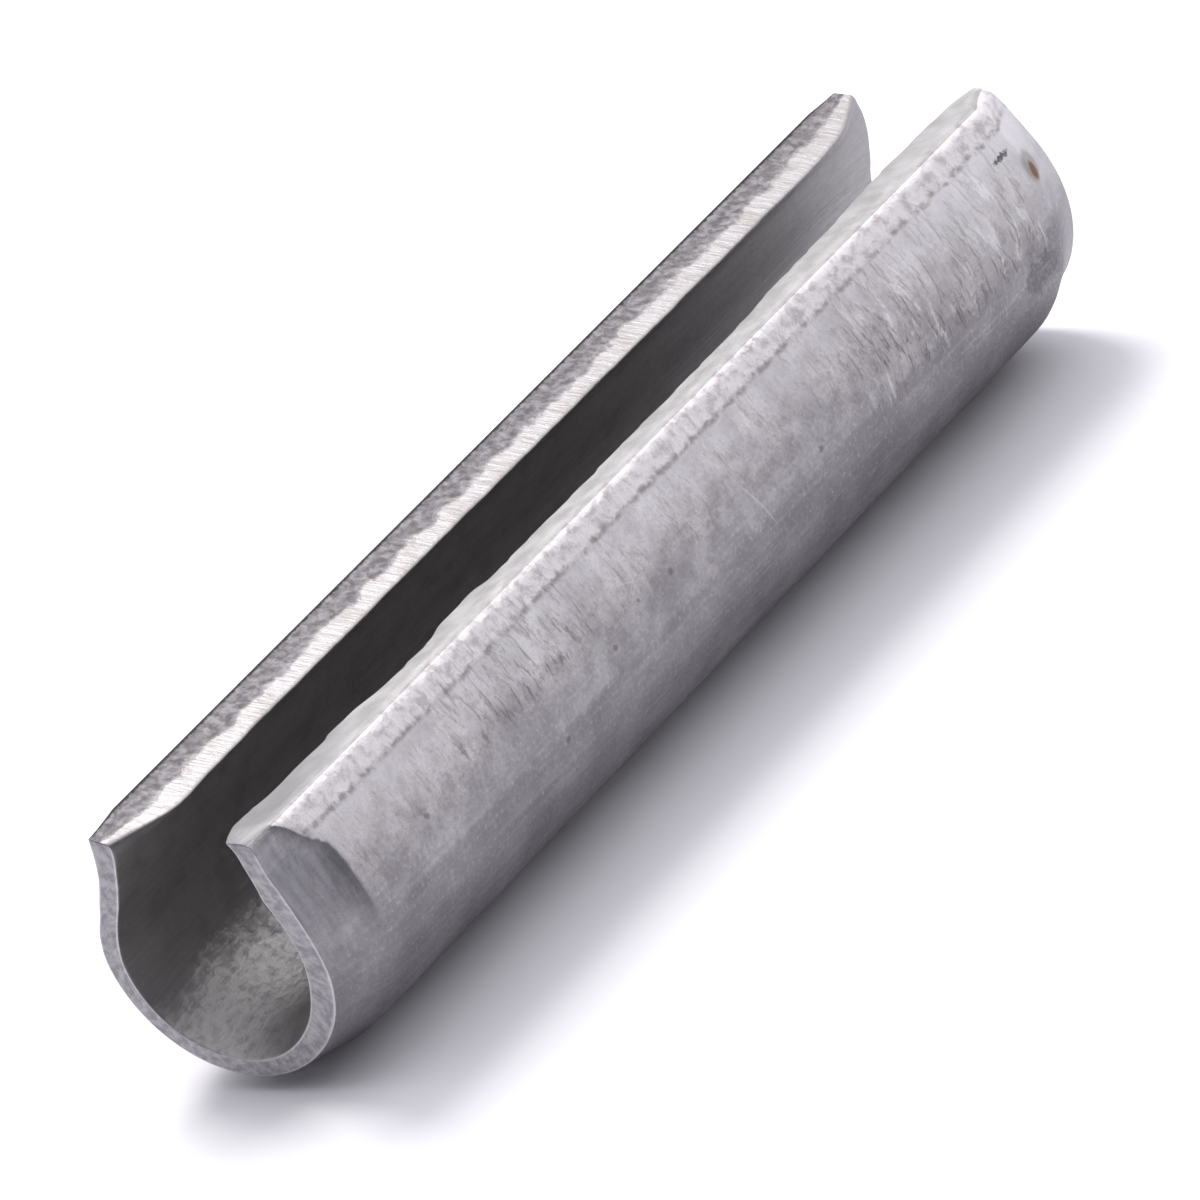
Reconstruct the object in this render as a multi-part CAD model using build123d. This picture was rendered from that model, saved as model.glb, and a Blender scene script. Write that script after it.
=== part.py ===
from build123d import *
import math
import os

# Slotted spring pin, rolled from spring steel strip, in millimetres.
# The pin lies along Y with its slot facing +Z. The origin is under the
# middle of the pin, on the surface that it lies on.

# The rolled section
LENGTH = 40.0
FREE_DIAMETER = 8.65       # before it is pressed into an 8 mm hole
WALL = 1.5
SLOT_GAP = 2.8             # between the inner edges of the two cut faces
BEND_END_DEG = 62.0        # from the slot's middle to where the wall stops curving
FACE_TILT_DEG = 10.0       # each cut face falls this much towards the bore

# The squeezed ends, alike but for the right lip's crown
TAPER_LENGTH = 1.7         # outside, from the end to the full section
END_SQUEEZE = 0.485        # how far the end's round part is pulled in
END_WALL = 0.6             # the wall that is left at its left and bottom
RIGHT_END_WALL = 0.66      # and at its right
LEFT_BEND_END_DEG = 90.0   # where the end's curve stops on each side
RIGHT_BEND_END_DEG = 106.0
LEFT_EDGE_PULL = 0.15      # how far each lip's outer edge is pulled in
RIGHT_EDGE_PULL = 0.31
LEFT_UPRIGHT = 1.0         # the height of the left lip's upright top
CROWN_PLACE = 0.43         # the share of the right lip's height where it is fullest
NEAR_CROWN = 0.15          # how far it stands out there from a straight lip
FAR_CROWN = 0.45
LEFT_EDGE_WALL = 0.66      # the wall that is left at each lip's edge
RIGHT_EDGE_WALL = 0.76
LEFT_FLARE_LENGTH = 4.0    # how deep the bore opens out, on each side
RIGHT_FLARE_LENGTH = 0.9

# How far the bore's cutter stands out of the slot
CLEAR = 2.0

RADIUS = FREE_DIAMETER / 2
BORE_RADIUS = RADIUS - WALL
END_RADIUS = RADIUS - END_SQUEEZE
END_BORE_RADIUS = END_RADIUS - END_WALL


def on_circle(radius, angle_deg):
    """A point of the section. X is sideways, Y is up, and 0 degrees is the slot."""
    angle = math.radians(angle_deg)
    return Vector(radius * math.sin(angle), radius * math.cos(angle))


def heading(angle_deg):
    angle = math.radians(angle_deg)
    return Vector(math.cos(angle), math.sin(angle))


def crossing(a, a_dir, b, b_dir):
    """Where the line through a meets the line through b."""
    gap = b - a
    turn = a_dir.X * b_dir.Y - a_dir.Y * b_dir.X
    return a + a_dir * ((gap.X * b_dir.Y - gap.Y * b_dir.X) / turn)


def mirrored(points):
    return [Vector(-p.X, p.Y) for p in points]


def lip(bend, edge, place=0.5, crown=0.0):
    """From the bend to the edge, with a knee that stands out to the side."""
    return [bend, bend + (edge - bend) * place + Vector(crown, 0), edge]


def stretched(start, end, extra):
    """The point that lies a distance beyond end, on the line from start."""
    return end + (end - start).normalized() * extra


def section(left, bottom, right, valley):
    """Eight points, from the left edge under the pin to the right edge."""
    return left[::-1] + [bottom] + right + [valley]


def between(a, b, share):
    return [p + (q - p) * share for p, q in zip(a, b)]


def face_at(points, y):
    """The closed face through a section's points, upright across the pin."""
    plane = Plane(origin=(0, y, RADIUS), x_dir=(1, 0, 0), z_dir=(0, -1, 0))
    p = points
    edges = [
        Line(p[0], p[1]),
        Line(p[1], p[2]),
        ThreePointArc(p[2], p[3], p[4]),
        Line(p[4], p[5]),
        Line(p[5], p[6]),
        Line(p[6], p[7]),
        Line(p[7], p[0]),
    ]
    return plane * make_face(edges)


def through(stations):
    """One solid through sections at rising Y, straight from each to the next."""
    faces = [face_at(points, y) for points, y in stations]
    solid = loft(faces[:2], ruled=True)
    for low, high in zip(faces[1:], faces[2:]):
        solid += loft([low, high], ruled=True)
    return solid


# The full section: a round wall that runs out straight into two lips
lean = heading(180.0 - BEND_END_DEG)
face_slope = heading(FACE_TILT_DEG)
outer_bend = on_circle(RADIUS, BEND_END_DEG)
inner_bend = on_circle(BORE_RADIUS, BEND_END_DEG)
inner_edge = crossing(inner_bend, lean, Vector(SLOT_GAP / 2, 0), heading(90))
outer_edge = crossing(outer_bend, lean, inner_edge, face_slope)
valley = crossing(inner_edge, face_slope, Vector(0, 0), heading(90))
above = valley + Vector(0, CLEAR)

outer_lip = lip(outer_bend, outer_edge)
bore_lip = lip(inner_bend, inner_edge + lean * CLEAR)
full_outer = section(mirrored(outer_lip), on_circle(RADIUS, 180), outer_lip, valley)
full_bore = section(mirrored(bore_lip), on_circle(BORE_RADIUS, 180), bore_lip, above)

# The end sections: the sides are pulled in and the lips stand nearly upright
left_edge = Vector(LEFT_EDGE_PULL - outer_edge.X, outer_edge.Y)
right_edge = Vector(outer_edge.X - RIGHT_EDGE_PULL, outer_edge.Y - RIGHT_EDGE_PULL / 2)


def end_outer(crown):
    left_knee = left_edge - Vector(0, LEFT_UPRIGHT)
    left = [on_circle(END_RADIUS, -LEFT_BEND_END_DEG), left_knee, left_edge]
    right_bend = on_circle(END_RADIUS, RIGHT_BEND_END_DEG)
    right = lip(right_bend, right_edge, CROWN_PLACE, crown)
    return section(left, on_circle(END_RADIUS, 180), right, valley)


def end_bore(crown):
    left_top = left_edge + Vector(LEFT_EDGE_WALL, CLEAR)
    left_knee = left_edge + Vector(LEFT_EDGE_WALL, -LEFT_UPRIGHT)
    left = [on_circle(END_BORE_RADIUS, -LEFT_BEND_END_DEG), left_knee, left_top]
    right_bend = on_circle(END_RADIUS - RIGHT_END_WALL, RIGHT_BEND_END_DEG)
    right = lip(right_bend, right_edge - Vector(RIGHT_EDGE_WALL, 0), CROWN_PLACE, crown)
    right[2] = stretched(right[1], right[2], CLEAR)
    return section(left, on_circle(END_BORE_RADIUS, 180), right, above)


def flare(crown):
    """Bore sections by depth: the right side is full before the left is."""
    mouth = end_bore(crown)
    left_share = RIGHT_FLARE_LENGTH / LEFT_FLARE_LENGTH
    right_full = between(mouth[:4], full_bore[:4], left_share) + full_bore[4:]
    return [(mouth, 0), (right_full, RIGHT_FLARE_LENGTH), (full_bore, LEFT_FLARE_LENGTH)]


def near_end(stations):
    return [(points, depth - LENGTH / 2) for points, depth in stations]


def far_end(stations):
    return [(points, LENGTH / 2 - depth) for points, depth in reversed(stations)]


near_taper = [(end_outer(NEAR_CROWN), 0), (full_outer, TAPER_LENGTH)]
far_taper = [(end_outer(FAR_CROWN), 0), (full_outer, TAPER_LENGTH)]
near_flare = flare(NEAR_CROWN)
far_flare = flare(FAR_CROWN)

outside = through(near_end(near_taper) + far_end(far_taper))
bore = through(near_end(near_flare) + far_end(far_flare))
spring_pin = outside - bore

os.makedirs("parts", exist_ok=True)
export_step(spring_pin, "parts/spring_pin.step")
print("volume", round(spring_pin.volume, 2), "mm3", spring_pin.bounding_box())
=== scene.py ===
import bpy
import numpy as np
from mathutils import Matrix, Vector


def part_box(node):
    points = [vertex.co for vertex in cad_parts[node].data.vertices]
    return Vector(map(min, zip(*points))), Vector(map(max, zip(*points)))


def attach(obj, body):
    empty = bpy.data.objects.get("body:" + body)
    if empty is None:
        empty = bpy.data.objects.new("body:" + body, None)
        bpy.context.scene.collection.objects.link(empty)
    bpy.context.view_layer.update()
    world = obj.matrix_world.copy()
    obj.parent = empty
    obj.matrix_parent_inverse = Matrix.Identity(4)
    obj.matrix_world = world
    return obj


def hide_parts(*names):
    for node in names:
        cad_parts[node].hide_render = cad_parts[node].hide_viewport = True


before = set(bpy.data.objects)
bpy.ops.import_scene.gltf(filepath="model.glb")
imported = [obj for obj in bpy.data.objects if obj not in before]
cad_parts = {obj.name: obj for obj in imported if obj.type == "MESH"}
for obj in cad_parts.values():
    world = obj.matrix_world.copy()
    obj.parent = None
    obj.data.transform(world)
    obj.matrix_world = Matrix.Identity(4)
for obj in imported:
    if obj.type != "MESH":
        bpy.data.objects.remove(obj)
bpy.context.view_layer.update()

# A slotted spring pin of dull steel. Lengths here are in millimetres, angles
# in degrees. Y runs along the pin, and section angles turn from the slot, at
# 0, down each side to the bottom of the pin, at 180.
MM = 0.001
NODE = "spring_pin"
_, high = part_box(NODE)
RADIUS = high.x / MM
HALF = high.y / MM
WALL = 1.5
BORE = RADIUS - WALL
BEND_END = 62.0            # where the wall runs out straight into the lips
OUTER_EDGE = 38.95         # the lips' edges in the full section
INNER_EDGE = 22.5

# Where the curves come from: points on the ends' outlines were picked by eye on
# the photograph, and a scratch script turned them into angles and radii through
# the fitted camera. They were then thinned, rounded and adjusted by eye against
# renders. The tapers, the flares and the wear were measured through the same
# camera or judged.
# Each curve is (angle, radius) for a squeezed end, from edge to bottom.
NEAR_OUTER = {
    "left": [(37.6, 4.58), (41.3, 4.26), (46, 3.98), (52, 3.77), (60, 3.66),
             (70, 3.63), (80, 3.74), (95, 3.84), (180, 3.84)],
    "right": [(37.3, 4.35), (40.4, 4.2), (45, 3.96), (50, 3.78), (57, 3.66),
              (64, 3.56), (72, 3.51), (80, 3.52), (88, 3.57), (102, 3.7),
              (125, 3.81), (180, 3.84)],
}
NEAR_INNER = {
    "left": [(31.9, 4.05), (33.2, 3.85), (36.5, 3.6), (42, 3.37), (50, 3.15),
             (62, 3.02), (75, 3.08), (85, 3.17), (98, 3.29), (135, 3.37), (180, 3.3)],
    "right": [(28.2, 3.97), (32.5, 3.82), (38.6, 3.49), (46.4, 3.17), (55.7, 2.89),
              (64, 2.84), (80, 2.83), (90, 2.88), (110, 2.94), (135, 3.09), (180, 3.3)],
}
FAR_OUTER = {
    "left": [(38.3, 4.62), (43, 4.3), (48, 4.02), (54, 3.88), (60, 3.82),
             (80, 3.8), (180, 3.81)],
    "right": [(33.5, 4.3), (36, 4.27), (41, 4.1), (47, 3.96), (53, 3.87), (60, 3.82),
              (80, 3.8), (180, 3.81)],
}
FAR_INNER = {
    "left": [(31.5, 4.12), (34, 3.94), (38.5, 3.57), (50, 3.08), (66, 2.86),
             (77, 2.86), (110, 3.0), (180, 3.1)],
    "right": [(29, 4.1), (33, 3.78), (38.5, 3.45), (50, 3.08), (66, 2.95), (90, 2.95),
              (180, 3.1)],
}

# How deep the outer tapers reach, by angle, and the bore's flares
NEAR_TAPER = {
    "left": [(38, 1.5), (90, 1.7), (180, 1.8)],
    "right": [(39, 0.85), (45, 1.2), (51, 1.5), (59, 1.95), (71, 1.93), (85, 1.93),
              (104, 2.05), (180, 1.9)],
}
FAR_TAPER = {
    "left": [(38, 1.35), (90, 1.5), (180, 1.6)],
    "right": [(38, 1.35), (90, 1.5), (180, 1.6)],
}
FLARE = {
    "left": [(22, 2.3), (60, 2.3), (90, 2.0), (180, 1.6)],
    "right": [(22, 1.1), (90, 1.2), (180, 1.6)],
}
TAPER_BEND = 1.4           # above 1, the taper is steepest where it meets the skin
FLARE_BEND = 1.3
CREASE = [(39, 0.02), (70, 0.05), (110, 0.16), (180, 0.2)]   # softness, by angle
TAPER_LIMIT = 4.0          # the section is full from here on
TYPICAL_TAPER = 1.7
TYPICAL_CREASE = 0.1

# Corners, as the distance from the corner where the rounding starts
ROLL = {"left_outer": 0.05, "left_inner": 0.16, "right_inner": 0.06, "right_outer": 0.4}
END_ROLL = 0.07
ROLL_ROWS = 30             # the rows of points beside a corner that it may move
ROLL_MOST = 0.9            # the most of them that a rounding takes up
TIP_REACH = 0.9            # how far from the slot the ends' corners are worn back
TIP_PULL = {"near": 0.05, "far": 0.22}
TIP_FADE = 2.0

# How much of each cut face is worn away at its inner edge, from end to end, as
# a share of its width. Below 0 the edge stands out into the slot.
EDGE_WEAR = {
    "left": [(-20, 0.0), (-17.8, -0.12), (-15, -0.07), (0, -0.09), (16, -0.12),
             (18, -0.03), (20, 0.0)],
    "right": [(-20, 0.0), (-18.5, -0.05), (-17.4, 0.13), (-13.6, 0.12), (-12.3, 0.3),
              (-9.8, 0.37), (-8.7, 0.18), (-7.2, 0.19), (-6.6, 0.31), (4.5, 0.33),
              (7.4, 0.29), (8.5, 0.18), (12, 0.15), (15, 0.0), (20, 0.08)],
}
WEAR_REACH = 0.6           # how far down the bore's wall the wear runs
WEAR_BEND = 1.5
RIPPLES = {                # (height, spacing, seed)
    "left": [(0.012, 0.9, 11), (0.006, 0.3, 12)],
    "right": [(0.015, 0.35, 22)],
}
JOG_HEIGHT = 0.07          # the right edge's ragged steps
JOG_REST = 0.03
JOG_LENGTHS = (0.5, 2.4)
JOG_SEED = 21
JOG_RISE = 1.15
JOG_FALL = 0.13

# Long shallow flats of the skin: (depth, turns in radians per mm, phase)
FACETS = [(0.012, 2.9, 0.6), (0.006, 7.3, 0.0)]
FACET_FADE = 2.0

# Mesh spacing
FINE = 0.018
GROWTH = 1.22
COARSE_ALONG = 0.14
COARSE_AROUND = 0.22
TAPER_SPACING = 0.08
TAPER_ROWS_END = 2.1
ACROSS = [0, 0.012, 0.03, 0.06, 0.12, 0.22, 0.34, 0.46, 0.58, 0.7, 0.8, 0.88, 0.94,
          0.97, 0.988, 1]

# Material numbers, in the order in which make_pin adds the materials
ON_SKIN, ON_BORE, ON_LEFT_CUT, ON_RIGHT_CUT, ON_END = range(5)


# --- numbers ---------------------------------------------------------------

def smooth(table, x):
    """A monotone cubic through a table's pairs, level at the last one."""
    xs, ys = np.array(table, float).T
    step, slope = np.diff(xs), np.diff(ys) / np.diff(xs)
    tangent = np.zeros(len(xs))
    same = slope[1:] * slope[:-1] > 0
    mean = 2 * slope[1:] * slope[:-1] / np.where(same, slope[1:] + slope[:-1], 1)
    tangent[1:-1] = np.where(same, mean, 0)
    tangent[0] = slope[0]
    x = np.clip(x, xs[0], xs[-1])
    i = np.clip(np.searchsorted(xs, x, side="right") - 1, 0, len(step) - 1)
    t = (x - xs[i]) / step[i]
    a, b = tangent[i] * step[i], tangent[i + 1] * step[i]
    cubic = (2 * t**3 - 3 * t**2 + 1) * ys[i] + (t**3 - 2 * t**2 + t) * a
    return cubic + (3 * t**2 - 2 * t**3) * ys[i + 1] + (t**3 - t**2) * b


def wander(y, step, seed):
    """A smooth random line between -1 and 1, with a new value each step."""
    values = np.random.default_rng(seed).uniform(-1, 1, int(2 * HALF / step) + 4)
    place = (y + HALF) / step + 1
    i = np.floor(place).astype(int)
    t = place - i
    t = t * t * (3 - 2 * t)
    return values[i] * (1 - t) + values[i + 1] * t


def jogs(y, shortest, longest, seed):
    """A ragged line: it drifts from 0 towards 1, then steps back, over and over."""
    rng = np.random.default_rng(seed)
    line = np.zeros_like(y)
    start = -HALF
    while start < HALF:
        length, height = rng.uniform(shortest, longest), rng.uniform(0.2, 1)
        inside = (y >= start) & (y < start + length)
        share = (y[inside] - start) / length
        line[inside] = height * np.minimum(share * JOG_RISE, (1 - share) / JOG_FALL)
        start += length
    return line


def growing(total, coarse, middle=None, middle_end=0.0):
    """Distances from 0 to total whose steps grow from fine to coarse.

    Up to middle_end, no step is longer than middle."""
    found, step = [0.0], FINE
    while found[-1] < total:
        limit = middle if middle and found[-1] < middle_end else coarse
        found.append(found[-1] + min(step, limit))
        step = min(step * GROWTH, coarse)
    found = np.array(found)
    return found * total / found[-1]


# --- the pin's shape -------------------------------------------------------

def polar(angle, radius, sign):
    turn = np.radians(angle)
    return np.stack([sign * radius * np.sin(turn), radius * np.cos(turn)], -1)


def full_radius(angle, radius):
    """The full section: a circle that runs out straight beyond the bend's end."""
    return radius / np.cos(np.radians(np.clip(BEND_END - angle, 0, None)))


def arc_length(angle):
    """How far round the skin an angle is from the bottom."""
    straight = RADIUS * np.tan(np.radians(np.clip(BEND_END - angle, 0, None)))
    return RADIUS * np.radians(180 - np.maximum(angle, BEND_END)) + straight


def taper_share(depth, reach, softness):
    """About 1 at the end and 0 beyond the taper, with a crisp or a soft crease."""
    share = 1 - (np.clip(depth, 0, None) / reach) ** TAPER_BEND
    return 0.5 * (share + np.sqrt(share**2 + softness**2))


def flare_share(depth, reach):
    return np.clip(1 - depth / reach, 0, 1) ** FLARE_BEND


def side_angles(edge, along):
    """Angles from the bottom to an edge. along is 0 at the bottom and 1 there."""
    return 180 - (180 - edge) * along


def wall_side(side, along, y):
    """Outer and inner points of one side, its taper share and its arc length."""
    sign = 1 if side == "right" else -1
    outer_angle = side_angles(OUTER_EDGE, along)[None, :]
    inner_angle = side_angles(INNER_EDGE, along)[None, :]
    outer = polar(outer_angle, full_radius(outer_angle, RADIUS), sign)
    inner = polar(inner_angle, full_radius(inner_angle, BORE), sign)
    shares = np.zeros((len(y), len(along)))
    ends = (
        (HALF + y, NEAR_OUTER[side], NEAR_INNER[side], NEAR_TAPER[side]),
        (HALF - y, FAR_OUTER[side], FAR_INNER[side], FAR_TAPER[side]),
    )
    for depth, outer_curve, inner_curve, taper in ends:
        depth = depth[:, None]
        share = taper_share(depth, smooth(taper, outer_angle), smooth(CREASE, outer_angle))
        rest = taper_share(TAPER_LIMIT, TYPICAL_TAPER, TYPICAL_CREASE)
        share = np.where(depth < TAPER_LIMIT, share - rest, 0).clip(0, 1)
        angle = side_angles(outer_curve[0][0], along)
        squeezed = polar(angle, smooth(outer_curve, angle), sign)[None]
        outer = outer + (squeezed - outer) * share[..., None]
        shares += share
        flare = flare_share(depth, smooth(FLARE[side], inner_angle))
        angle = side_angles(inner_curve[0][0], along)
        opened = polar(angle, smooth(inner_curve, angle), sign)[None]
        inner = inner + (opened - inner) * flare[..., None]
    from_edge = (arc_length(OUTER_EDGE) - arc_length(outer_angle[0])) / WEAR_REACH
    wear = edge_wear(side, y)[:, None] * np.clip(1 - from_edge, 0, 1) ** WEAR_BEND
    inner = inner + (outer[:, -1:] - inner[:, -1:]) * wear[..., None]
    arc = sign * arc_length(outer_angle)
    return outer, inner, shares, np.repeat(arc, len(y), 0)


def edge_wear(side, y):
    """How far each cut face's inner edge is worn back, with its small ragged steps."""
    worn = smooth(EDGE_WEAR[side], y)
    if side == "right":
        worn = worn + JOG_HEIGHT * jogs(y, *JOG_LENGTHS, JOG_SEED) - JOG_REST
    for height, spacing, seed in RIPPLES[side]:
        worn = worn + height * wander(y, spacing, seed)
    return worn


def rounded(first, corner, second, reach):
    """Rounds the corner between two rows of points that both run away from it."""
    def measured(row):
        line = np.vstack([corner, row])
        return line, np.r_[0, np.cumsum(np.linalg.norm(np.diff(line, axis=0), axis=1))]

    def at(line, length, distance):
        return np.array([np.interp(distance, length, line[:, k]) for k in range(3)])

    (a, a_len), (b, b_len) = measured(first), measured(second)
    reach = min(reach, a_len[-1] * ROLL_MOST, b_len[-1] * ROLL_MOST)
    a_end, b_end = at(a, a_len, reach), at(b, b_len, reach)

    def moved(line, length, toward_b):
        t = 0.5 + toward_b * np.clip(length / reach, 0, 1)[:, None] / 2
        curve = (1 - t) ** 2 * a_end + 2 * t * (1 - t) * corner + t**2 * b_end
        return np.where((length < reach)[:, None], curve, line)

    a, b = moved(a, a_len, -1), moved(b, b_len, 1)
    return a[1:], a[0], b[1:]


def stations():
    near = growing(HALF, COARSE_ALONG, middle=TAPER_SPACING, middle_end=TAPER_ROWS_END)
    return np.r_[near - HALF, (HALF - near[:-1])[::-1]]


def around():
    """Shares of one side, from the bottom, 0, to its edge, 1."""
    length = arc_length(OUTER_EDGE)
    side = 1 - growing(length, COARSE_AROUND) / length
    return side[::-1]


def build_wall():
    """Grids of the outer and the inner surface, before their corners are rounded."""
    y, along = stations(), around()
    grids = {}
    for side in ("left", "right"):
        grids[side] = wall_side(side, along, y)
    parts = []
    for k in range(4):
        left, right = grids["left"][k], grids["right"][k]
        parts.append(np.concatenate([left[:, ::-1], right[:, 1:]], 1))
    outer, inner, share, arc = parts
    edge = np.abs(arc_length(OUTER_EDGE) - np.abs(arc))
    pull = np.clip(1 - edge / TIP_REACH, 0, 1) ** 2

    def placed(points):
        worn = y[:, None] + near_far(y, TIP_PULL)[:, None] * pull
        return np.stack([points[..., 0], worn, points[..., 1] + RADIUS], -1)

    return y, placed(outer), placed(inner), share, arc


def near_far(y, amounts):
    """Wear that fades away from both ends: + at the near end, - at the far."""
    near = amounts["near"] * np.clip(1 - (HALF + y) / TIP_FADE, 0, 1)
    return near - amounts["far"] * np.clip(1 - (HALF - y) / TIP_FADE, 0, 1)


def filled(first, last, shares):
    """Rows of points from first to last, at these shares of the way."""
    shares = np.array(shares)[:, None]
    return first[..., None, :] * (1 - shares) + last[..., None, :] * shares


def skin_facets(outer, arc, share):
    """Long shallow flats that rolling leaves, and a slight waviness, all inwards."""
    wave = sum(depth * (1 + np.cos(arc * rate + phase)) for depth, rate, phase in FACETS)
    centre = np.array([0, 0, RADIUS])
    flat = outer - centre
    flat[..., 1] = 0
    length = np.linalg.norm(flat, axis=-1, keepdims=True)
    fade = np.clip((arc_length(BEND_END) - np.abs(arc)) / FACET_FADE, 0, 1)
    fade *= np.clip((np.abs(arc) - FACET_FADE) / FACET_FADE, 0, 1)
    return outer - flat / length * (wave * fade * (1 - share))[..., None]


def roll_long_corners(outer, inner, left, right):
    """Rounds the four corners along the slot, where cut faces meet skin and bore."""
    for w in range(outer.shape[0]):
        jobs = (
            (outer, 1, 1, left, 1, 1, "left_outer", outer, 0),
            (outer, -2, -1, right, 1, 1, "right_outer", outer, -1),
            (inner, 1, 1, left, -2, -1, "left_inner", inner, 0),
            (inner, -2, -1, right, -2, -1, "right_inner", inner, -1),
        )
        for grid, g0, gs, cut, c0, cs, name, owner, corner in jobs:
            row, face = grid[w, g0::gs][:ROLL_ROWS], cut[w, c0::cs][:-1]
            a, tip, b = rounded(row.copy(), owner[w, corner].copy(), face.copy(), ROLL[name])
            grid[w, g0::gs][:ROLL_ROWS] = a
            cut[w, c0::cs][:-1] = b
            owner[w, corner] = tip
        left[w, 0], left[w, -1] = outer[w, 0], inner[w, 0]
        right[w, 0], right[w, -1] = outer[w, -1], inner[w, -1]


def roll_end_corners(outer, inner, near, far):
    """Rounds the outer and the inner corner of both end rings."""
    for u in range(outer.shape[1]):
        for grid, first in ((outer, 1), (inner, -1)):
            for end, w0, ws in ((near, 0, 1), (far, -1, -1)):
                column = grid[w0 + ws::ws, u][:ROLL_ROWS]
                start = 1 if first == 1 else -2
                face = end[start::first, u][:-1]
                corner = grid[w0, u].copy()
                a, tip, b = rounded(column.copy(), corner, face.copy(), END_ROLL)
                grid[w0 + ws::ws, u][:ROLL_ROWS] = a
                end[start::first, u][:-1] = b
                grid[w0, u] = tip
        near[0, u], near[-1, u] = outer[0, u], inner[0, u]
        far[0, u], far[-1, u] = outer[-1, u], inner[-1, u]


# --- the mesh --------------------------------------------------------------

class Builder:
    """Collects vertices, quads, attributes and material numbers."""

    def __init__(self):
        self.points, self.strip, self.edges = [], [], []
        self.quads, self.slots = [], []
        self.count = 0

    def add(self, points, strip, edges):
        shape = points.shape[:-1]
        index = np.arange(self.count, self.count + points.size // 3).reshape(shape)
        for store, rows in ((self.points, points), (self.strip, strip), (self.edges, edges)):
            store.append(rows.reshape(-1, 3))
        self.count += index.size
        return index

    def grid(self, index, slot, flip):
        a, b = index[:-1, :-1], index[1:, :-1]
        c, d = index[1:, 1:], index[:-1, 1:]
        corners = (a, d, c, b) if flip else (a, b, c, d)
        quads = np.stack(corners, -1).reshape(-1, 4)
        self.quads.append(quads)
        self.slots.append(np.full(len(quads), slot))

    def mesh(self, name):
        mesh = bpy.data.meshes.new(name)
        points = np.concatenate(self.points) * MM
        mesh.from_pydata(points.tolist(), [], np.concatenate(self.quads).tolist())
        mesh.polygons.foreach_set("material_index", np.concatenate(self.slots))
        mesh.polygons.foreach_set("use_smooth", np.ones(len(mesh.polygons), bool))
        for title, rows in (("strip", self.strip), ("edges", self.edges)):
            layer = mesh.attributes.new(title, "FLOAT_VECTOR", "POINT")
            layer.data.foreach_set("vector", np.concatenate(rows).ravel())
        mesh.update()
        return mesh


def vectors(*parts):
    return np.stack(np.broadcast_arrays(*parts), -1).astype(float)


def pin_mesh():
    """One closed mesh. Each point carries two attributes for the materials.

    strip holds mm around from the bottom, mm along the pin and the share of the
    wall from skin to bore. edges holds mm from the slot, mm from the nearer end
    and how far the taper has squeezed the section, which only the skin uses.
    """
    y, outer, inner, share, arc = build_wall()
    outer = skin_facets(outer, arc, share)
    left = filled(outer[:, 0], inner[:, 0], ACROSS)
    right = filled(outer[:, -1], inner[:, -1], ACROSS)
    roll_long_corners(outer, inner, left, right)
    near = np.swapaxes(filled(outer[0], inner[0], ACROSS), 0, 1)
    far = np.swapaxes(filled(outer[-1], inner[-1], ACROSS), 0, 1)
    near[:, 0], near[:, -1] = left[0], right[0]
    far[:, 0], far[:, -1] = left[-1], right[-1]
    roll_end_corners(outer, inner, near, far)
    left[0], left[-1], right[0], right[-1] = near[:, 0], far[:, 0], near[:, -1], far[:, -1]

    made = Builder()
    edge = arc_length(OUTER_EDGE) - np.abs(arc)
    end = HALF - np.abs(y)[:, None]
    o = made.add(outer, vectors(arc, y[:, None], 0), vectors(edge, end, share))
    i = made.add(inner, vectors(arc, y[:, None], 1), vectors(edge, end, share))
    shares = np.array(ACROSS[1:-1])
    cuts = []
    for grid, side in ((left, 0), (right, -1)):
        rows = vectors(arc[:, side][:, None], y[:, None], shares[None])
        cuts.append(made.add(grid[:, 1:-1], rows, vectors(0, end, shares[None])))
    ends = []
    for grid, w in ((near, 0), (far, -1)):
        rows = vectors(arc[w, 1:-1][None], y[w], shares[:, None])
        spans = vectors(edge[w, 1:-1][None], 0, np.ones_like(shares)[:, None])
        ends.append(made.add(grid[1:-1, 1:-1], rows, spans))

    left_index = np.column_stack([o[:, 0], cuts[0], i[:, 0]])
    right_index = np.column_stack([o[:, -1], cuts[1], i[:, -1]])
    made.grid(o, ON_SKIN, flip=False)
    made.grid(i, ON_BORE, flip=True)
    made.grid(left_index, ON_LEFT_CUT, flip=True)
    made.grid(right_index, ON_RIGHT_CUT, flip=False)
    for w, inside, flip in ((0, ends[0], True), (-1, ends[1], False)):
        middle = np.column_stack([left_index[w, 1:-1], inside, right_index[w, 1:-1]])
        made.grid(np.vstack([o[w], middle, i[w]]), ON_END, flip=flip)
    return made.mesh("spring_pin_detail")


# --- materials -------------------------------------------------------------

# Marks on the skin: mm from the slot, then mm along the pin
RUST_PLACE = (2.35, 18.75)
RUST_SIZE = (0.62, 0.55)
RUST_CORE = (2.5, 18.72)
RUST_CORE_SIZE = (0.36, 0.27)
SMEAR_PLACE = (5.0, 17.2)
SMEAR_SIZE = (0.6, 1.2)
HOOK_PLACE = (1.75, 17.9)
HOOK_SIZE = (0.1, 0.5)
SCRATCH_PLACE = (3.9, 0.6)
SCRATCH_SIZE = (1.1, 0.06)
SCRATCH_LEAN = -0.45
SPECK_PLACES = ((2.85, -14.8), (3.4, -5.5), (4.4, -8.6), (3.0, -2.2), (3.7, 5.4))
SPECK_SIZE = (0.12, 0.13)

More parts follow.
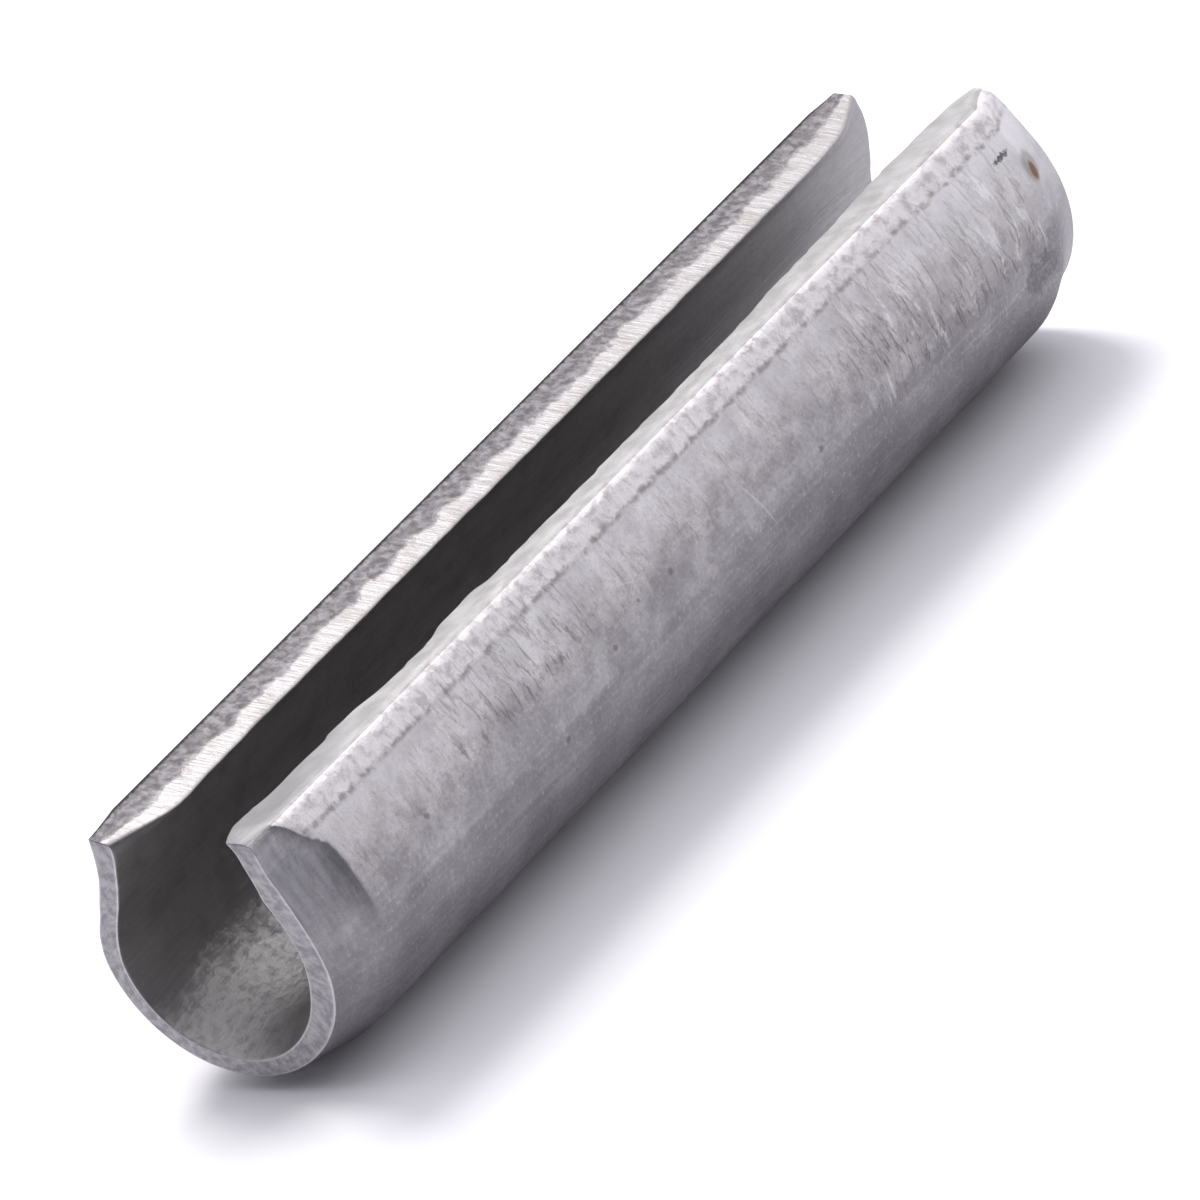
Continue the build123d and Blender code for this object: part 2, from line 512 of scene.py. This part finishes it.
# Colours of the skin
SKIN_DARK = (0.46, 0.44, 0.45)
SKIN_LIGHT = (0.74, 0.715, 0.72)
# painted shade on the skin's lower side, away from the lips
SKIN_PAINTED_SHADE = (0.13, 0.125, 0.145)
STAIN = (0.31, 0.29, 0.30)
GRAIN_DARK = (0.25, 0.23, 0.23)
GRAIN_LIGHT = (0.78, 0.77, 0.77)
LINE_LIGHT = (0.72, 0.71, 0.71)
VEIN = (0.2, 0.185, 0.18)
DRAG_BAND_DARK = (0.27, 0.25, 0.25)
DRAG_BAND_LIGHT = (0.9, 0.88, 0.88)
DRAG_LINE = (0.15, 0.135, 0.13)
DUST = (0.13, 0.12, 0.12)
# painted highlight: a sheen beside the right lip
PAINTED_SHEEN = (0.88, 0.86, 0.865)
# painted highlight on the rolled corner beside the slot
LIP_PAINTED_HIGHLIGHT = (0.84, 0.815, 0.81)
LIP_PIT = (0.48, 0.45, 0.44)
LIP_SEAM = (0.22, 0.20, 0.19)
# painted shade on the near taper, darkest at its crease
TAPER_SHADE_DARK = (0.29, 0.285, 0.305)
TAPER_SHADE_LIGHT = (0.40, 0.39, 0.415)
TAPER_CREASE_SHADE = (0.12, 0.118, 0.13)
# a paler colour for the far taper
TAPER_FAR_PALE = (0.7, 0.68, 0.71)
RUST_HALO = (0.22, 0.205, 0.19)
RUST = (0.22, 0.115, 0.055)
SMEAR = (0.12, 0.11, 0.115)
HOOK = (0.1, 0.09, 0.09)
SCRATCH = (0.82, 0.81, 0.82)

# Colours of the bore, the cut faces and the end rings
BORE_DARK = (0.17, 0.163, 0.16)
BORE_LIGHT = (0.30, 0.29, 0.285)
BORE_STAIN = (0.15, 0.145, 0.145)
# painted light: a pool of light on a rough patch of the bore
BORE_ROUGH_LIT_DARK = (0.50, 0.485, 0.47)
BORE_ROUGH_LIT_LIGHT = (1.0, 0.975, 0.95)
BORE_FAR_DARK = (0.36, 0.35, 0.36)
BORE_FAR_LIGHT = (0.62, 0.61, 0.62)
TORN_DARK = (0.13, 0.125, 0.13)
TORN_LIGHT = (0.30, 0.288, 0.295)
TORN_STAIN = (0.16, 0.15, 0.15)
BURNISH = (0.37, 0.358, 0.353)
BURNISH_TICK = (0.22, 0.205, 0.197)
BURNISH_STAIN = (0.27, 0.245, 0.235)
# a near-black line along the left cut face's outer edge
OUTER_EDGE_BLACK = (0.035, 0.032, 0.035)
CUT_DARK = (0.28, 0.275, 0.27)
CUT_LIGHT = (0.39, 0.385, 0.38)
CUT_SCRAPE = (0.40, 0.39, 0.39)
CUT_GRAIN = (0.17, 0.165, 0.165)
CUT_NEAR_END = (0.16, 0.157, 0.163)
CUT_RIM_LIGHT = (0.45, 0.44, 0.435)
CUT_RIM_PIT = (0.25, 0.235, 0.23)
RING_DARK = (0.27, 0.26, 0.28)
RING_LIGHT = (0.45, 0.435, 0.455)
RING_GRAIN = (0.2, 0.19, 0.21)
# painted highlight along the end rings' edges
RING_RIM_HIGHLIGHT = (0.8, 0.79, 0.81)

METALLIC = 0.9
BORE_METALLIC = 0.8
GRAZING_TINT = (0.5, 0.5, 0.52, 1)    # dull steel doesn't flash white at its outline
CUT_WIDTH = 1.57                      # mm across a cut face
RING_WIDTH = 0.7                      # mm across an end ring
MIX_SHARE, MIX_A, MIX_B, MIX_RESULT = 0, 6, 7, 2   # colour sockets of a Mix node


class Graph:
    """A material whose nodes are added and joined by short calls."""

    def __init__(self, name):
        self.material = bpy.data.materials.new(name)
        self.material.use_nodes = True
        self.tree = self.material.node_tree
        self.shader = self.tree.nodes["Principled BSDF"]

    def feed(self, socket, value):
        if isinstance(value, bpy.types.NodeSocket):
            self.tree.links.new(value, socket)
        else:
            socket.default_value = value

    def node(self, kind, inputs, **settings):
        node = self.tree.nodes.new(kind)
        for key, value in settings.items():
            setattr(node, key, value)
        for key, value in inputs.items():
            self.feed(node.inputs[key], value)
        return node

    def attribute(self, name):
        vector = self.node("ShaderNodeAttribute", {}, attribute_name=name).outputs["Vector"]
        return self.node("ShaderNodeSeparateXYZ", {0: vector}).outputs

    def vector(self, x, y, z=0.0):
        return self.node("ShaderNodeCombineXYZ", {0: x, 1: y, 2: z}).outputs[0]

    def math(self, operation, a, b=0.0):
        return self.node("ShaderNodeMath", {0: a, 1: b}, operation=operation).outputs[0]

    def add(self, a, b):
        return self.math("ADD", a, b)

    def times(self, a, b):
        return self.math("MULTIPLY", a, b)

    def noise(self, vector, scale, detail=3.0, roughness=0.55, distortion=0.0):
        inputs = {"Vector": vector, "Scale": scale, "Detail": detail,
                  "Roughness": roughness, "Distortion": distortion}
        return self.node("ShaderNodeTexNoise", inputs).outputs["Fac"]

    def stretched(self, x, x_scale, y, y_scale, *look):
        """Noise with its own scale each way. look goes on to noise."""
        return self.noise(self.vector(self.times(x, x_scale), self.times(y, y_scale)), 1.0, *look)

    def swing(self, noise, amount):
        """A noise moved to lie around 0, and scaled."""
        return self.times(self.math("SUBTRACT", noise, 0.5), amount)

    def cell_distance(self, vector, scale):
        inputs = {"Vector": vector, "Scale": scale}
        return self.node("ShaderNodeTexVoronoi", inputs).outputs["Distance"]

    def band(self, value, start, end, low=0.0, high=1.0):
        inputs = {"Value": value, "From Min": start, "From Max": end,
                  "To Min": low, "To Max": high}
        made = self.node("ShaderNodeMapRange", inputs, interpolation_type="SMOOTHSTEP")
        return made.outputs[0]

    def within(self, value, start, full_from, end, full_until):
        """1 from full_from to full_until, fading to 0 at start and at end."""
        return self.times(self.band(value, start, full_from), self.band(value, end, full_until))

    def blend(self, share, a, b):
        made = self.node("ShaderNodeMix", {}, data_type="RGBA")
        for socket, value in ((MIX_SHARE, share), (MIX_A, a), (MIX_B, b)):
            if isinstance(value, tuple):
                value = (*value, 1.0)
            self.feed(made.inputs[socket], value)
        return made.outputs[MIX_RESULT]

    def over(self, color, mask, strength, paint):
        return self.blend(self.times(mask, strength), color, paint)

    def spot(self, x, y, centre, size):
        """1 at a place on the strip, 0 outside an ellipse around it."""
        dx = self.math("DIVIDE", self.math("SUBTRACT", x, centre[0]), size[0])
        dy = self.math("DIVIDE", self.math("SUBTRACT", y, centre[1]), size[1])
        far = self.math("SQRT", self.add(self.times(dx, dx), self.times(dy, dy)))
        return self.band(far, 0.55, 1.0, 1.0, 0.0)

    def finish(self, color, roughness, height, depth, metallic=METALLIC):
        shader = self.shader.inputs
        shader["Metallic"].default_value = metallic
        shader["Specular Tint"].default_value = GRAZING_TINT
        self.feed(shader["Base Color"], color)
        self.feed(shader["Roughness"], roughness)
        inputs = {"Height": height, "Strength": 1.0, "Distance": depth * MM}
        bump = self.node("ShaderNodeBump", inputs)
        self.feed(shader["Normal"], bump.outputs["Normal"])
        return self.material


class Skin(Graph):
    """The outer skin: dull steel with stains, drag marks, specks and a rust spot, and painted shade and
    highlights.
    """

    def __init__(self):
        super().__init__("steel_skin")
        self.arc, self.along, _ = self.attribute("strip")
        self.edge, self.end, self.taper = self.attribute("edges")
        self.flat = self.vector(self.arc, self.along)
        self.clouds = self.noise(self.flat, 0.45, 4)
        self.patches = self.noise(self.flat, 1.5, 6, 0.62)
        self.grain = self.noise(self.flat, 7.0, 5, 0.7)
        self.fine = self.noise(self.flat, 26.0, 2)
        self.lines = self.stretched(self.arc, 5.0, self.along, 0.15, 4)
        self.crackle = self.noise(self.flat, 3.2, 6, 0.75, 1.6)
        self.pits = self.noise(self.flat, 2.4, 6, 0.62, 0.3)
        self.right = self.band(self.arc, -0.5, 0.5)
        self.wavy = self.add(self.edge, self.swing(self.patches, 0.5))
        self.ragged = self.add(self.edge, self.swing(self.patches, 0.35))
        self.rolled = self.times(self.band(self.ragged, 0.95, 0.75), self.right)

    def base(self):
        """Mottled steel with painted shade: the skin darkens away from the lips, down towards the floor,
        along a wavy edge.
        """
        light = self.band(self.wavy, 1.9, 3.4, 1.0, 0.56)
        light = self.times(light, self.band(self.wavy, 3.95, 4.2, 1.0, 0.7))
        color = self.blend(self.band(self.clouds, 0.3, 0.7), SKIN_DARK, SKIN_LIGHT)
        # painted shade, growing with distance from the lips
        color = self.blend(self.math("SUBTRACT", 1.0, light), color, SKIN_PAINTED_SHADE)
        color = self.blend(self.band(self.patches, 0.42, 0.66, 0.0, 0.42), color, STAIN)
        color = self.blend(self.band(self.grain, 0.5, 0.75, 0.0, 0.6), color, GRAIN_DARK)
        color = self.blend(self.band(self.grain, 0.48, 0.3, 0.0, 0.3), color, GRAIN_LIGHT)
        color = self.blend(self.band(self.lines, 0.45, 0.7, 0.0, 0.12), color, LINE_LIGHT)
        veins = self.math("ABSOLUTE", self.math("SUBTRACT", self.crackle, 0.5))
        region = self.times(self.band(self.clouds, 0.4, 0.6), self.band(self.edge, 3.6, 2.6))
        return self.over(color, self.times(self.band(veins, 0.03, 0.0), region), 0.4, VEIN)

    def drag_lines(self):
        """Marks around the pin: short ones near one end, long ones near the other."""
        slanted = self.add(self.along, self.times(self.arc, 0.05))
        thin = self.stretched(self.arc, 1.1, slanted, 4.6, 6, 0.72, 0.8)
        broad = self.stretched(self.arc, 0.5, slanted, 1.6, 6, 0.7, 0.9)
        early = self.times(self.within(self.along, -14.0, -11.5, -3.0, -7.0),
                           self.within(self.edge, 0.2, 0.6, 3.0, 2.3))
        late = self.times(self.within(self.along, 7.0, 9.5, 18.4, 17.6),
                          self.within(self.edge, 0.75, 1.1, 4.8, 3.9))
        late = self.times(late, self.right)
        elsewhere = self.times(self.band(self.clouds, 0.38, 0.55), self.band(self.edge, 3.6, 2.0))
        place = self.math("MAXIMUM", self.math("MAXIMUM", early, late), self.times(elsewhere, 0.5))
        return self.times(self.band(thin, 0.52, 0.66), place), broad, late

    def dragged(self, color, drag, broad, late):
        dark, light = self.band(broad, 0.4, 0.62), self.band(broad, 0.46, 0.36)
        color = self.over(color, dark, self.times(late, 0.4), DRAG_BAND_DARK)
        color = self.over(color, light, self.times(late, 0.5), DRAG_BAND_LIGHT)
        color = self.over(color, drag, 0.65, DRAG_LINE)
        distance = self.add(self.cell_distance(self.flat, 0.55), self.times(self.grain, 0.03))
        return self.blend(self.band(distance, 0.03, 0.06, 0.65, 0.0), color, DUST)

    def paint_sheen(self, color):
        """A painted sheen beside the right lip, widest at the far end."""
        beside = self.band(self.wavy, 2.8, 0.9, 0.0, 0.4)
        far = self.times(self.band(self.along, 8.0, 16.0), self.band(self.wavy, 4.2, 2.8, 0.0, 0.35))
        # painted highlight laid over the skin beside the right lip
        return self.over(color, self.add(beside, far), self.right, PAINTED_SHEEN)

    def lipped(self, color):
        """The rolled corner beside the slot has a painted highlight and real dark pits."""
        # painted highlight with real pits in it
        band = self.blend(self.band(self.pits, 0.44, 0.66, 0.0, 0.8), LIP_PAINTED_HIGHLIGHT, LIP_PIT)
        color = self.over(color, self.rolled, 0.8, band)
        seam = self.times(self.within(self.ragged, 0.72, 0.86, 1.02, 0.88), self.right)
        return self.over(color, seam, self.band(self.pits, 0.4, 0.6, 0.1, 0.6), LIP_SEAM)

    def tapered(self, color):
        """The near taper gets painted shade, darkest at its crease and towards the lip, with lines along
        its edge. The far one is made paler.
        """
        turned = self.stretched(self.arc, 0.8, self.end, 5.0, 4, 0.6)
        # painted shade of the near taper, with lines along its edge
        shaded_facet = self.blend(self.band(turned, 0.3, 0.7), TAPER_SHADE_DARK, TAPER_SHADE_LIGHT)
        depth = self.add(self.taper, self.times(turned, 0.3))
        # painted shade, darkest beside the crease
        shaded_facet = self.blend(self.band(depth, 0.1, 0.75, 0.85, 0.0), shaded_facet, TAPER_CREASE_SHADE)
        near = self.times(self.band(self.along, 4.0, -4.0), self.band(self.edge, 5.2, 2.4, 0.2, 0.92))
        color = self.over(color, self.band(self.taper, 0.015, 0.07), near, shaded_facet)
        worn = self.times(self.band(self.taper, 0.0, 0.9), self.band(self.along, -4.0, 4.0))
        return self.over(color, worn, 0.35, TAPER_FAR_PALE)

    def marked(self, color):
        """One rust spot with a grey halo, a smear, specks and two scratches."""
        def on_right(x, y, place, size):
            return self.times(self.spot(x, y, place, size), self.right)

        color = self.over(color, on_right(self.edge, self.along, RUST_PLACE, RUST_SIZE), 0.55, RUST_HALO)
        color = self.over(color, on_right(self.edge, self.along, RUST_CORE, RUST_CORE_SIZE), 0.9, RUST)
        torn = self.swing(self.patches, 2.4)
        x, y = self.add(self.edge, torn), self.add(self.along, torn)
        smear = self.times(on_right(x, y, SMEAR_PLACE, SMEAR_SIZE), self.grain)
        color = self.over(color, smear, 0.9, SMEAR)
        x = self.add(self.edge, self.swing(self.grain, 0.3))
        for place in SPECK_PLACES:
            color = self.over(color, on_right(x, self.along, place, SPECK_SIZE), 0.5, SMEAR)
        x = self.add(self.edge, self.times(self.crackle, 0.5))
        color = self.over(color, on_right(x, self.along, HOOK_PLACE, HOOK_SIZE), 0.85, HOOK)
        x = self.add(self.edge, self.times(self.crackle, 0.6))
        y = self.add(self.along, self.times(self.edge, SCRATCH_LEAN))
        return self.over(color, on_right(x, y, SCRATCH_PLACE, SCRATCH_SIZE), 0.25, SCRATCH)

    def made(self):
        drag, broad, late = self.drag_lines()
        color = self.dragged(self.base(), drag, broad, late)
        color = self.marked(self.tapered(self.lipped(self.paint_sheen(color))))
        rough = self.add(self.band(self.patches, 0.3, 0.7, 0.44, 0.56), self.times(self.grain, 0.1))
        height = self.add(self.times(self.grain, 0.8), self.times(self.fine, 0.35))
        height = self.add(height, self.times(drag, -0.8))
        height = self.add(height, self.times(self.times(self.pits, self.rolled), 2.2))
        height = self.add(height, self.times(self.lines, 0.3))
        return self.finish(color, rough, height, 0.03)


def bore_material():
    """The bore: dark drawn steel with fine lines along it, and a rough patch painted paler as a pool of
    light.
    """
    g = Graph("steel_bore")
    arc, along, _ = g.attribute("strip")
    flat = g.vector(arc, along)
    streaks = g.stretched(arc, 7.0, along, 0.3, 5, 0.65)
    patches = g.noise(flat, 0.8, 4)
    grain = g.noise(flat, 3.0, 6, 0.66, 0.3)
    edge = g.add(arc, g.times(g.math("SUBTRACT", g.add(grain, patches), 1.0), 2.2))
    patch = g.within(edge, -4.4, -2.6, 2.2, -1.0)
    patch = g.times(patch, g.band(along, -19.0, -15.5, 0.45, 1.0))
    color = g.blend(streaks, BORE_DARK, BORE_LIGHT)
    color = g.blend(g.band(patches, 0.45, 0.7, 0.0, 0.45), color, BORE_STAIN)
    # painted pool of light on a rough patch of the bore
    pale = g.blend(g.band(grain, 0.3, 0.6), BORE_ROUGH_LIT_DARK, BORE_ROUGH_LIT_LIGHT)
    color = g.over(color, patch, 0.9, pale)
    silver = g.blend(streaks, BORE_FAR_DARK, BORE_FAR_LIGHT)
    color = g.blend(g.band(along, 2.0, 20.0, 0.0, 0.8), color, silver)
    height = g.add(g.times(streaks, 0.5), g.times(grain, g.band(patch, 0, 1, 0.25, 1.6)))
    return g.finish(color, g.band(grain, 0.2, 0.8, 0.45, 0.62), height, 0.04, BORE_METALLIC)


def sheared_material():
    """The left cut face: a burnished inner band, a torn, mottled outer one and a near-black line along
    its outer edge.
    """
    g = Graph("steel_sheared")
    _, along, across = g.attribute("strip")
    flat = g.vector(g.times(across, CUT_WIDTH), along)
    line = g.add(across, g.swing(g.noise(flat, 0.85, 5, 0.62), 0.75))
    burnish = g.band(line, 0.40, 0.62)
    ticks = g.stretched(across, 1.2, along, 5.0, 4, 0.65, 0.3)
    grain = g.noise(flat, 3.4, 6, 0.62, 0.3)
    clouds = g.noise(flat, 0.9, 4)
    torn = g.blend(g.band(grain, 0.34, 0.68), TORN_DARK, TORN_LIGHT)
    torn = g.blend(g.band(clouds, 0.5, 0.7, 0.0, 0.5), torn, TORN_STAIN)
    bright = g.blend(g.band(ticks, 0.45, 0.72, 0.0, 0.32), BURNISH, BURNISH_TICK)
    bright = g.blend(g.band(clouds, 0.48, 0.62, 0.0, 0.45), bright, BURNISH_STAIN)
    rim = g.add(across, g.swing(ticks, 0.14))
    # near-black line along the outer edge
    color = g.blend(g.band(rim, 0.05, 0.10, 0.92, 0.0), g.blend(burnish, torn, bright), OUTER_EDGE_BLACK)
    rough = g.band(burnish, 0, 1, 0.66, 0.48)
    height = g.add(g.times(grain, g.band(burnish, 0, 1, 1.2, 0.3)), g.times(ticks, 0.5))
    return g.finish(color, rough, height, 0.05)


def smooth_cut_material():
    """The right cut face: smooth light grey with a few scrapes along it."""
    g = Graph("steel_smooth_cut")
    arc, along, across = g.attribute("strip")
    flat = g.vector(g.times(across, CUT_WIDTH), along)
    scrapes = g.stretched(across, 7.0, along, 0.5, 4)
    clouds = g.noise(flat, 0.9, 5, 0.6)
    grain = g.noise(flat, 8.0, 5, 0.7)
    pits = g.noise(g.vector(arc, along), 2.4, 6, 0.62, 0.3)
    color = g.blend(g.band(clouds, 0.3, 0.7), CUT_DARK, CUT_LIGHT)
    color = g.blend(g.band(scrapes, 0.5, 0.75, 0.0, 0.3), color, CUT_SCRAPE)
    color = g.blend(g.band(grain, 0.52, 0.75, 0.0, 0.4), color, CUT_GRAIN)
    color = g.blend(g.band(along, -12.0, -18.5, 0.0, 0.6), color, CUT_NEAR_END)
    rim = g.blend(g.band(pits, 0.44, 0.66, 0.0, 0.8), CUT_RIM_LIGHT, CUT_RIM_PIT)
    color = g.blend(g.band(across, 0.12, 0.03, 0.0, 0.7), color, rim)
    height = g.add(g.times(grain, 0.5), g.times(scrapes, 0.3))
    return g.finish(color, 0.52, height, 0.03)


def end_material():
    """The end rings: sawn and stained, with thin painted highlights along their edges."""
    g = Graph("steel_end")
    arc, _, across = g.attribute("strip")
    flat = g.vector(arc, g.times(across, RING_WIDTH))
    mottle = g.noise(flat, 3.2, 5, 0.65)
    grain = g.noise(flat, 14.0, 3)
    color = g.blend(g.band(mottle, 0.35, 0.65), RING_DARK, RING_LIGHT)
    color = g.blend(g.band(grain, 0.55, 0.75, 0.0, 0.35), color, RING_GRAIN)
    rim = g.math("MAXIMUM", g.band(across, 0.16, 0.03), g.band(across, 0.86, 0.97))
    # painted highlights on the rings' inner and outer edges
    color = g.over(color, rim, 0.5, RING_RIM_HIGHLIGHT)
    height = g.add(g.times(grain, 0.4), g.times(mottle, 0.5))
    return g.finish(color, 0.5, height, 0.03)


def whitened(tree, shader, amount):
    """Adds light that only the camera and mirror-like rays see."""
    path = tree.nodes.new("ShaderNodeLightPath")
    seen = path.outputs["Is Camera Ray"]
    for name in ("Is Glossy Ray", "Is Transmission Ray"):
        most = tree.nodes.new("ShaderNodeMath")
        most.operation = "MAXIMUM"
        tree.links.new(seen, most.inputs[0])
        tree.links.new(path.outputs[name], most.inputs[1])
        seen = most.outputs[0]
    strength = tree.nodes.new("ShaderNodeMath")
    strength.operation = "MULTIPLY"
    strength.inputs[1].default_value = amount
    tree.links.new(seen, strength.inputs[0])
    tree.links.new(strength.outputs[0], shader)


def floor_material():
    g = Graph("floor_white")
    shader = g.shader.inputs
    shader["Base Color"].default_value = FLOOR_COLOR
    shader["Roughness"].default_value = 0.9
    shader["Specular IOR Level"].default_value = 0.1
    shader["Emission Color"].default_value = (1, 1, 1, 1)
    whitened(g.tree, shader["Emission Strength"], FLOOR_LIFT)
    return g.material


# --- stage, light and camera -----------------------------------------------

FLOOR_HALF = 3.0                   # metres, as are the lamp's place and size
FLOOR_COLOR = (0.88, 0.88, 0.9, 1)
FLOOR_LIFT = 0.02
SKY_TOWARD = (-0.35, 0.65, 0.68)   # where the studio is brightest
SKY_RANGE = (-0.2, 1.0)
SKY_DARK = (0.055, 0.052, 0.07, 1)
SKY_BRIGHT = (1.57, 1.55, 1.65, 1)
KEY_POWER = 1.8
KEY_PLACE = (-0.24, 0.16, 0.42)
KEY_SIZE = 0.20
KEY_COLOR = (1.0, 0.985, 0.97)


def make_floor():
    s = FLOOR_HALF
    mesh = bpy.data.meshes.new("floor")
    corners = [(-s, -s, 0), (s, -s, 0), (s, s, 0), (-s, s, 0)]
    mesh.from_pydata(corners, [], [(0, 1, 2, 3)])
    floor = bpy.data.objects.new("floor", mesh)
    mesh.materials.append(floor_material())
    bpy.context.scene.collection.objects.link(floor)


def make_world():
    """A soft studio: bright above and behind on the left, dim in front on the right."""
    world = bpy.data.worlds.new("studio")
    bpy.context.scene.world = world
    world.use_nodes = True
    tree = world.node_tree
    place = tree.nodes.new("ShaderNodeTexCoord")
    facing = tree.nodes.new("ShaderNodeVectorMath")
    facing.operation = "DOT_PRODUCT"
    facing.inputs[1].default_value = SKY_TOWARD
    tree.links.new(place.outputs["Generated"], facing.inputs[0])
    share = tree.nodes.new("ShaderNodeMapRange")
    share.interpolation_type = "SMOOTHSTEP"
    share.inputs["From Min"].default_value, share.inputs["From Max"].default_value = SKY_RANGE
    tree.links.new(facing.outputs["Value"], share.inputs["Value"])
    mix = tree.nodes.new("ShaderNodeMix")
    mix.data_type = "RGBA"
    mix.inputs[MIX_A].default_value = SKY_DARK
    mix.inputs[MIX_B].default_value = SKY_BRIGHT
    tree.links.new(share.outputs[0], mix.inputs[MIX_SHARE])
    tree.links.new(mix.outputs[MIX_RESULT], tree.nodes["Background"].inputs["Color"])


def make_lamp(name, place, power, size, color):
    light = bpy.data.lights.new(name, "AREA")
    light.shape, light.size, light.energy, light.color = "SQUARE", size, power, color
    lamp = bpy.data.objects.new(name, light)
    lamp.matrix_world = aimed(place)
    bpy.context.scene.collection.objects.link(lamp)


def aimed(place):
    """A matrix at place whose -Z points at the origin."""
    back = np.array(place) / np.linalg.norm(place)
    right = np.cross([0, 0, 1.0], back)
    right /= np.linalg.norm(right)
    up = np.cross(back, right)
    rows = np.eye(4)
    rows[:3, 0], rows[:3, 1], rows[:3, 2], rows[:3, 3] = right, up, back, place
    return Matrix(rows.tolist())


# The photograph's view: from the right of the near end, tipped to one side. A
# scratch script fitted the camera to the outline by least squares.
CAMERA_PLACE = (217.45, -244.33, 150.51)
CAMERA_RIGHT = (0.79458, 0.51134, -0.32737)
CAMERA_BACK = (0.60702, -0.68040, 0.41058)
CAMERA_LENS = 390.15
SENSOR = 36
CLIP = (0.01, 20)


def make_camera():
    data = bpy.data.cameras.new("camera")
    data.lens = CAMERA_LENS
    data.sensor_width = SENSOR
    data.clip_start, data.clip_end = CLIP
    camera = bpy.data.objects.new("camera", data)
    right, back = np.array(CAMERA_RIGHT), np.array(CAMERA_BACK)
    rows = np.eye(4)
    rows[:3, 0], rows[:3, 2] = right, back
    rows[:3, 1] = np.cross(back, right)
    rows[:3, 3] = np.array(CAMERA_PLACE) * MM
    camera.matrix_world = Matrix(rows.tolist())
    bpy.context.scene.collection.objects.link(camera)
    bpy.context.scene.camera = camera


def make_pin():
    mesh = pin_mesh()
    for material in (Skin().made(), bore_material(), sheared_material(),
                     smooth_cut_material(), end_material()):
        mesh.materials.append(material)
    pin = bpy.data.objects.new("spring_pin_body", mesh)
    bpy.context.scene.collection.objects.link(pin)
    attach(pin, "root")
    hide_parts(NODE)


make_pin()
make_floor()
make_world()
make_lamp("key", KEY_PLACE, KEY_POWER, KEY_SIZE, KEY_COLOR)
make_camera()
bpy.context.scene.view_settings.view_transform = "Standard"
